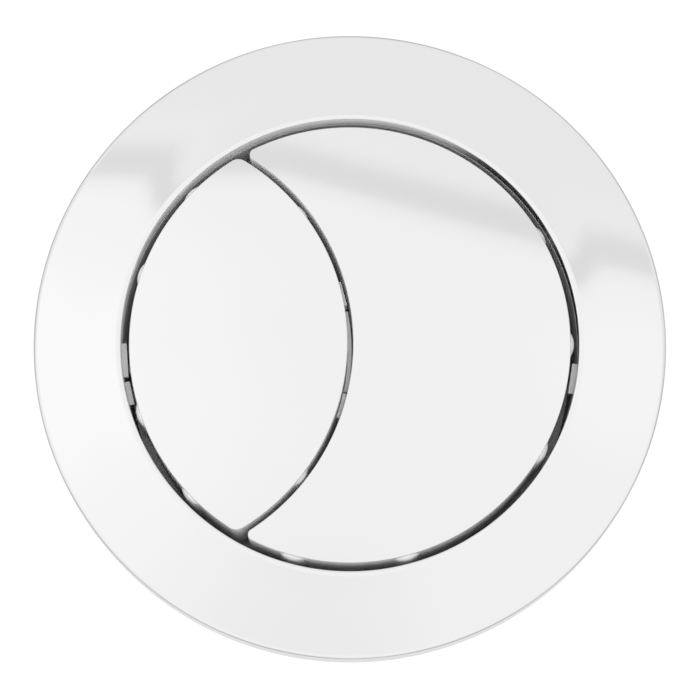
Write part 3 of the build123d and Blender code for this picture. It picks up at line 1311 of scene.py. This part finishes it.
def dress_node(node: str, finish: Finish) -> None:
    """Give a CAD node that keeps its own mesh its finish."""
    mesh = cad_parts[node].data
    mesh.materials.clear()
    mesh.materials.append(finish.material())
    LOG.info("%s keeps its CAD mesh", node)


def ray_is(tree: NodeTree, *kinds: str) -> NodeSocket:
    """Tell whether a ray is of one of some kinds.

    Args:
        tree: the node tree.
        kinds: the kinds, as Light Path names them.

    Returns:
        One for such a ray, and otherwise nought.
    """
    rays = add_node(tree, "ShaderNodeLightPath").outputs
    found = rays[kinds[0]]
    for kind in kinds[1:]:
        found = add_node(tree, "ShaderNodeMath", {0: found, 1: rays[kind]}, operation="MAXIMUM").outputs[0]
    return found


@dataclass(frozen=True)
class Spot:
    """A round patch of the room that the chrome shows: its place on the face, and its levels by distance."""

    centre: tuple[float, float]
    levels: tuple[tuple[float, float], ...]


@dataclass(frozen=True)
class Softbox:
    """A soft lamp that looks at the part: its place, its width and length in metres, and its power."""

    name: str
    place: tuple[float, float, float]
    size: tuple[float, float]
    power: float


@dataclass
class Studio:
    """A white room: floor, soft light, the room that the chrome mirrors, and the camera.

    What the chrome shows is drawn as it lies on the flat face in the photograph's view: each place there is
    given in millimetres on the face, and turned into a direction by the camera's distance and tilt.
    """

    tilt: float = radians(9.6)
    distance: float = 400.0
    target: tuple[float, float, float] = (0.02, -0.87, 4.9)
    field: float = 81.2
    sensor: float = 36.0
    nearest: float = 0.01
    # The floor lies just below the rods' feet as they are with the buttons pressed.
    floor_height: float = -94.4
    floor_size: float = 4.0
    floor_colour: str = "#f3f3f3"
    # What share of the floor's look is its own glow, how bright that is, and how much less so in the chrome.
    floor_glow: float = 0.82
    floor_level: float = 1.1
    floor_less: float = 0.34
    # How strongly the room lights the part.
    soft_light: float = 0.62
    # A dark bar hangs over the face: it slopes down to the right, and runs level left of the kink.
    band_angle: float = radians(74.4)
    band_kink: float = -8.0
    band: tuple[tuple[float, float], ...] = (
        (13.0, 0.97),
        (16.4, 0.958),
        (17.9, 0.89),
        (18.9, 0.805),
        (20.3, 0.792),
        (21.8, 0.86),
        (23.3, 0.912),
        (27.0, 0.9),
        (40.0, 0.888),
    )
    spots: tuple[Spot, ...] = (
        Spot(
            (-40.0, -4.0),
            ((0.0, 1.09), (9.0, 1.085), (17.0, 1.045), (23.0, 1.035), (30.0, 1.01), (38.0, 1.0)),
        ),
        Spot((33.0, -4.0), ((0.0, 1.035), (5.0, 1.028), (11.0, 1.008), (16.0, 1.0))),
        Spot((-5.0, -37.0), ((0.0, 0.95), (8.0, 0.955), (11.0, 0.97), (15.0, 0.99), (19.0, 1.0))),
    )
    # How far across the face the bar and the spots are drawn.
    reach: float = 40.0
    # Directions lower than this are drawn as if they were this high.
    lowest: float = 0.05
    # The room's level by height, from the floor's edge to straight up.
    heights: tuple[tuple[float, float], ...] = (
        (0.0, 0.16),
        (0.12, 0.4),
        (0.3, 0.72),
        (0.5, 0.86),
        (0.85, 0.97),
        (0.95, 1.0),
    )
    # Soft clouds low in the room, which only the other views mirror: their scale, depth and highest place.
    cloud_scale: float = 4.0
    cloud_levels: tuple[float, float] = (-0.3, 0.15)
    cloud_heights: tuple[float, float] = (0.55, 0.85)
    softboxes: tuple[Softbox, ...] = (
        Softbox("key_softbox", (0.01, -0.1, 0.6), (0.09, 0.3), 1.7),
        Softbox("fill_softbox", (-0.5, -0.3, 0.35), (0.4, 0.4), 1.0),
    )

    def build(self) -> None:
        """Set the colour view and make the whole room."""
        bpy.context.scene.view_settings.view_transform = "Standard"
        self.floor()
        self.world()
        self.lamps()
        self.camera()

    def floor(self) -> None:
        """Lay a pale floor that shows white and still takes a shadow."""
        bm = bmesh.new()
        bmesh.ops.create_grid(bm, x_segments=1, y_segments=1, size=self.floor_size)
        bmesh.ops.translate(bm, vec=UP * self.floor_height * MM, verts=bm.verts)
        mesh = bpy.data.meshes.new("studio_floor")
        bm.to_mesh(mesh)
        bm.free()
        made = bpy.data.materials.new("white_paper_sweep")
        made.use_nodes = True
        tree = made.node_tree
        tree.nodes.clear()
        seen = ray_is(tree, "Is Camera Ray", "Is Glossy Ray", "Is Transmission Ray")
        share = add_node(tree, "ShaderNodeMath", {0: seen, 1: self.floor_glow}, operation="MULTIPLY")
        level = add_node(
            tree,
            "ShaderNodeMath",
            {0: ray_is(tree, "Is Glossy Ray"), 1: -self.floor_less, 2: self.floor_level},
            operation="MULTIPLY_ADD",
        )
        paper = add_node(tree, "ShaderNodeBsdfDiffuse", {"Color": linear(self.floor_colour)})
        white = add_node(tree, "ShaderNodeEmission", {"Color": linear(WHITE), "Strength": level.outputs[0]})
        shades = {0: share.outputs[0], 1: paper.outputs[0], 2: white.outputs[0]}
        mix = add_node(tree, "ShaderNodeMixShader", shades)
        add_node(tree, "ShaderNodeOutputMaterial", {"Surface": mix.outputs[0]})
        mesh.materials.append(made)
        floor = bpy.data.objects.new("studio_floor", mesh)
        bpy.context.scene.collection.objects.link(floor)

    def world(self) -> None:
        """Make the room: white to look at, soft as light, and patterned in the chrome."""
        world = bpy.data.worlds.new("white_studio")
        world.use_nodes = True
        bpy.context.scene.world = world
        tree = world.node_tree
        tree.nodes.clear()
        shown = add_node(tree, "ShaderNodeBackground", {"Color": linear(WHITE), "Strength": self.soft_light})
        for colour, rays in (
            (self.mirrored_room(tree), ("Is Glossy Ray",)),
            (linear(WHITE), ("Is Camera Ray", "Is Transmission Ray")),
        ):
            room = add_node(tree, "ShaderNodeBackground", {"Color": colour, "Strength": 1.0})
            shades = {0: ray_is(tree, *rays), 1: shown.outputs[0], 2: room.outputs[0]}
            shown = add_node(tree, "ShaderNodeMixShader", shades)
        add_node(tree, "ShaderNodeOutputWorld", {"Surface": shown.outputs[0]})

    def mirrored_room(self, tree: NodeTree) -> NodeSocket:
        """Paint the room that the chrome shows.

        Args:
            tree: the world's node tree.

        Returns:
            The room's brightness.
        """
        way = add_node(tree, "ShaderNodeTexCoord").outputs["Generated"]
        height = add_node(tree, "ShaderNodeSeparateXYZ", {0: way}).outputs["Z"]
        upward = add_node(tree, "ShaderNodeMath", {0: height, 1: self.lowest}, operation="MAXIMUM")
        flat = add_node(tree, "ShaderNodeVectorMath", {0: way, 1: upward.outputs[0]}, operation="DIVIDE")
        depth = self.distance * cos(self.tilt)
        face = add_node(
            tree,
            "ShaderNodeMapping",
            {
                "Vector": flat.outputs[0],
                "Location": (0, -self.distance * sin(self.tilt), 0),
                "Scale": (depth, depth, 0),
            },
        ).outputs[0]
        kink = (self.band_kink, -FAR, 0)
        kinked = add_node(tree, "ShaderNodeVectorMath", {0: face, 1: kink}, operation="MAXIMUM")
        slope = (cos(self.band_angle), sin(self.band_angle), 0)
        across = add_node(
            tree, "ShaderNodeVectorMath", {0: kinked.outputs[0], 1: slope}, operation="DOT_PRODUCT"
        )
        factors = [self.ramp(tree, across.outputs["Value"], self.reach, self.band)]
        for spot in self.spots:
            middle = (*spot.centre, 0)
            apart = add_node(tree, "ShaderNodeVectorMath", {0: face, 1: middle}, operation="DISTANCE")
            factors.append(self.ramp(tree, apart.outputs["Value"], self.reach, spot.levels))
        factors.append(self.ramp(tree, height, 1.0, self.heights))
        level = self.clouds(tree, way, height)
        for factor in factors:
            level = add_node(tree, "ShaderNodeMath", {0: level, 1: factor}, operation="MULTIPLY").outputs[0]
        return level

    def clouds(self, tree: NodeTree, way: NodeSocket, height: NodeSocket) -> NodeSocket:
        """Paint the clouds low in the room.

        Args:
            tree: the world's node tree.
            way: the direction that is looked in.
            height: how far upwards that is.

        Returns:
            The factor that they put on the room's brightness.
        """
        full, gone = self.cloud_heights
        low = add_node(
            tree,
            "ShaderNodeMapRange",
            {"Value": height, "From Min": full, "From Max": gone, "To Min": 1.0, "To Max": 0.0},
        )
        noise = add_node(
            tree, "ShaderNodeTexNoise", {"Vector": way, "Scale": self.cloud_scale, "Detail": 1.0}
        )
        start, end = NOISE_SPAN
        dark, light = self.cloud_levels
        cloud = add_node(
            tree,
            "ShaderNodeMapRange",
            {"Value": noise.outputs[0], "From Min": start, "From Max": end, "To Min": dark, "To Max": light},
        )
        terms = {0: cloud.outputs[0], 1: low.outputs[0], 2: 1.0}
        return add_node(tree, "ShaderNodeMath", terms, operation="MULTIPLY_ADD").outputs[0]

    def ramp(
        self, tree: NodeTree, value: NodeSocket, reach: float, stops: Sequence[tuple[float, float]]
    ) -> NodeSocket:
        """Turn a value into a brightness along a soft curve.

        Args:
            tree: the node tree.
            value: the value, from nought.
            reach: the highest value that counts.
            stops: values with the brightness at each.

        Returns:
            The brightness.
        """
        share = add_node(tree, "ShaderNodeMapRange", {"Value": value, "From Min": 0.0, "From Max": reach})
        top = max(level for _, level in stops)
        curve = add_node(tree, "ShaderNodeFloatCurve", {"Value": share.outputs[0]})
        line = curve.mapping.curves[0]
        places = [(at / reach, level / top) for at, level in stops]
        line.points[0].location = (0.0, places[0][1])
        line.points[1].location = (1.0, places[-1][1])
        for place in places:
            if 0.0 < place[0] < 1.0:
                line.points.new(*place)
        curve.mapping.update()
        bright = add_node(tree, "ShaderNodeMath", {0: curve.outputs[0], 1: top}, operation="MULTIPLY")
        return bright.outputs[0]

    def lamps(self) -> None:
        """Hang the soft lamps, which the chrome doesn't show."""
        for softbox in self.softboxes:
            lamp = bpy.data.lights.new(softbox.name, "AREA")
            lamp.shape = "RECTANGLE"
            lamp.size, lamp.size_y = softbox.size
            lamp.energy = softbox.power
            holder = bpy.data.objects.new(softbox.name, lamp)
            holder.location = softbox.place
            holder.rotation_euler = (-Vector(softbox.place)).to_track_quat("-Z", "Y").to_euler()
            holder.visible_glossy = False
            bpy.context.scene.collection.objects.link(holder)

    def camera(self) -> None:
        """Stand the camera at the photograph's distance and tilt."""
        lens = bpy.data.cameras.new("photo_camera")
        lens.sensor_width = self.sensor
        lens.lens = self.sensor * self.distance / self.field
        lens.clip_start = self.nearest
        holder = bpy.data.objects.new("photo_camera", lens)
        back = Vector((0, -sin(self.tilt), cos(self.tilt)))
        holder.location = (Vector(self.target) + back * self.distance) * MM
        holder.rotation_euler = (self.tilt, 0, 0)
        bpy.context.scene.collection.objects.link(holder)
        bpy.context.scene.camera = holder


def buttons() -> list[FlushButton]:
    """The two buttons with their plans and the places of their nubs and ribs."""
    rim, divider, gap = 25.65, 25.4, 0.62
    skirt = FlushButton.skirt
    spacer = 15.06
    half = FlushButton(
        Side.HALF,
        Outline(Side.HALF, rim, divider, -rim, tip=1.4),
        Outline(Side.HALF, rim - skirt, divider - skirt, -rim),
        rim_nubs=(136, 161, 199, 224),
        divider_nubs=(-38, 38),
        spacers=(-spacer, spacer),
        tab=True,
        ledge_length=9.6,
    )
    full = FlushButton(
        Side.FULL,
        Outline(Side.FULL, rim, divider + gap, -rim, tip=0.7),
        Outline(Side.FULL, rim - skirt, divider + gap + skirt, -rim),
        rim_nubs=(0, 30, 255, 285, 330),
    )
    return [half, full]


def rings() -> list[FlatRing]:
    """The flange, the gasket under it and the nut's washer."""
    flange = FlatRing(
        "seat_flange",
        Body.HOUSING,
        Slot.WHITE_ABS,
        WHITE_ABS,
        inner=29.05,
        outer=34.0,
        foot=1.5,
        top=2.9,
        edge=0.2,
    )
    gasket = FlatRing(
        "seat_gasket",
        Body.HOUSING,
        Slot.FOAM,
        FOAM,
        inner=30.5,
        outer=33.0,
        foot=0.0,
        top=1.5,
        edge=0.15,
    )
    washer = FlatRing(
        "nut_washer",
        Body.WASHER,
        Slot.RUBBER,
        RUBBER,
        inner=29.4,
        outer=33.75,
        foot=-16.0,
        top=-14.0,
        edge=0.35,
    )
    return [flange, gasket, washer]


def main() -> None:
    """Build every piece in order, then the studio."""
    Bezel().build()
    for button in buttons():
        button.build()
    thread = Thread()
    TailThread(thread).build()
    for ring in rings():
        ring.build()
    BackNut(thread).build()
    for side in Side:
        ReturnSpring(side).build()
        PushRod(side).build()
        dress_node(f"{side.value}_plunger", ACETAL)
        dress_node(f"{side.value}_retaining_clip", SPRING_STEEL)
    dress_node("housing", WHITE_ABS)
    Studio().build()


if __name__ == "__main__":
    logging.basicConfig(level=logging.INFO)
    main()
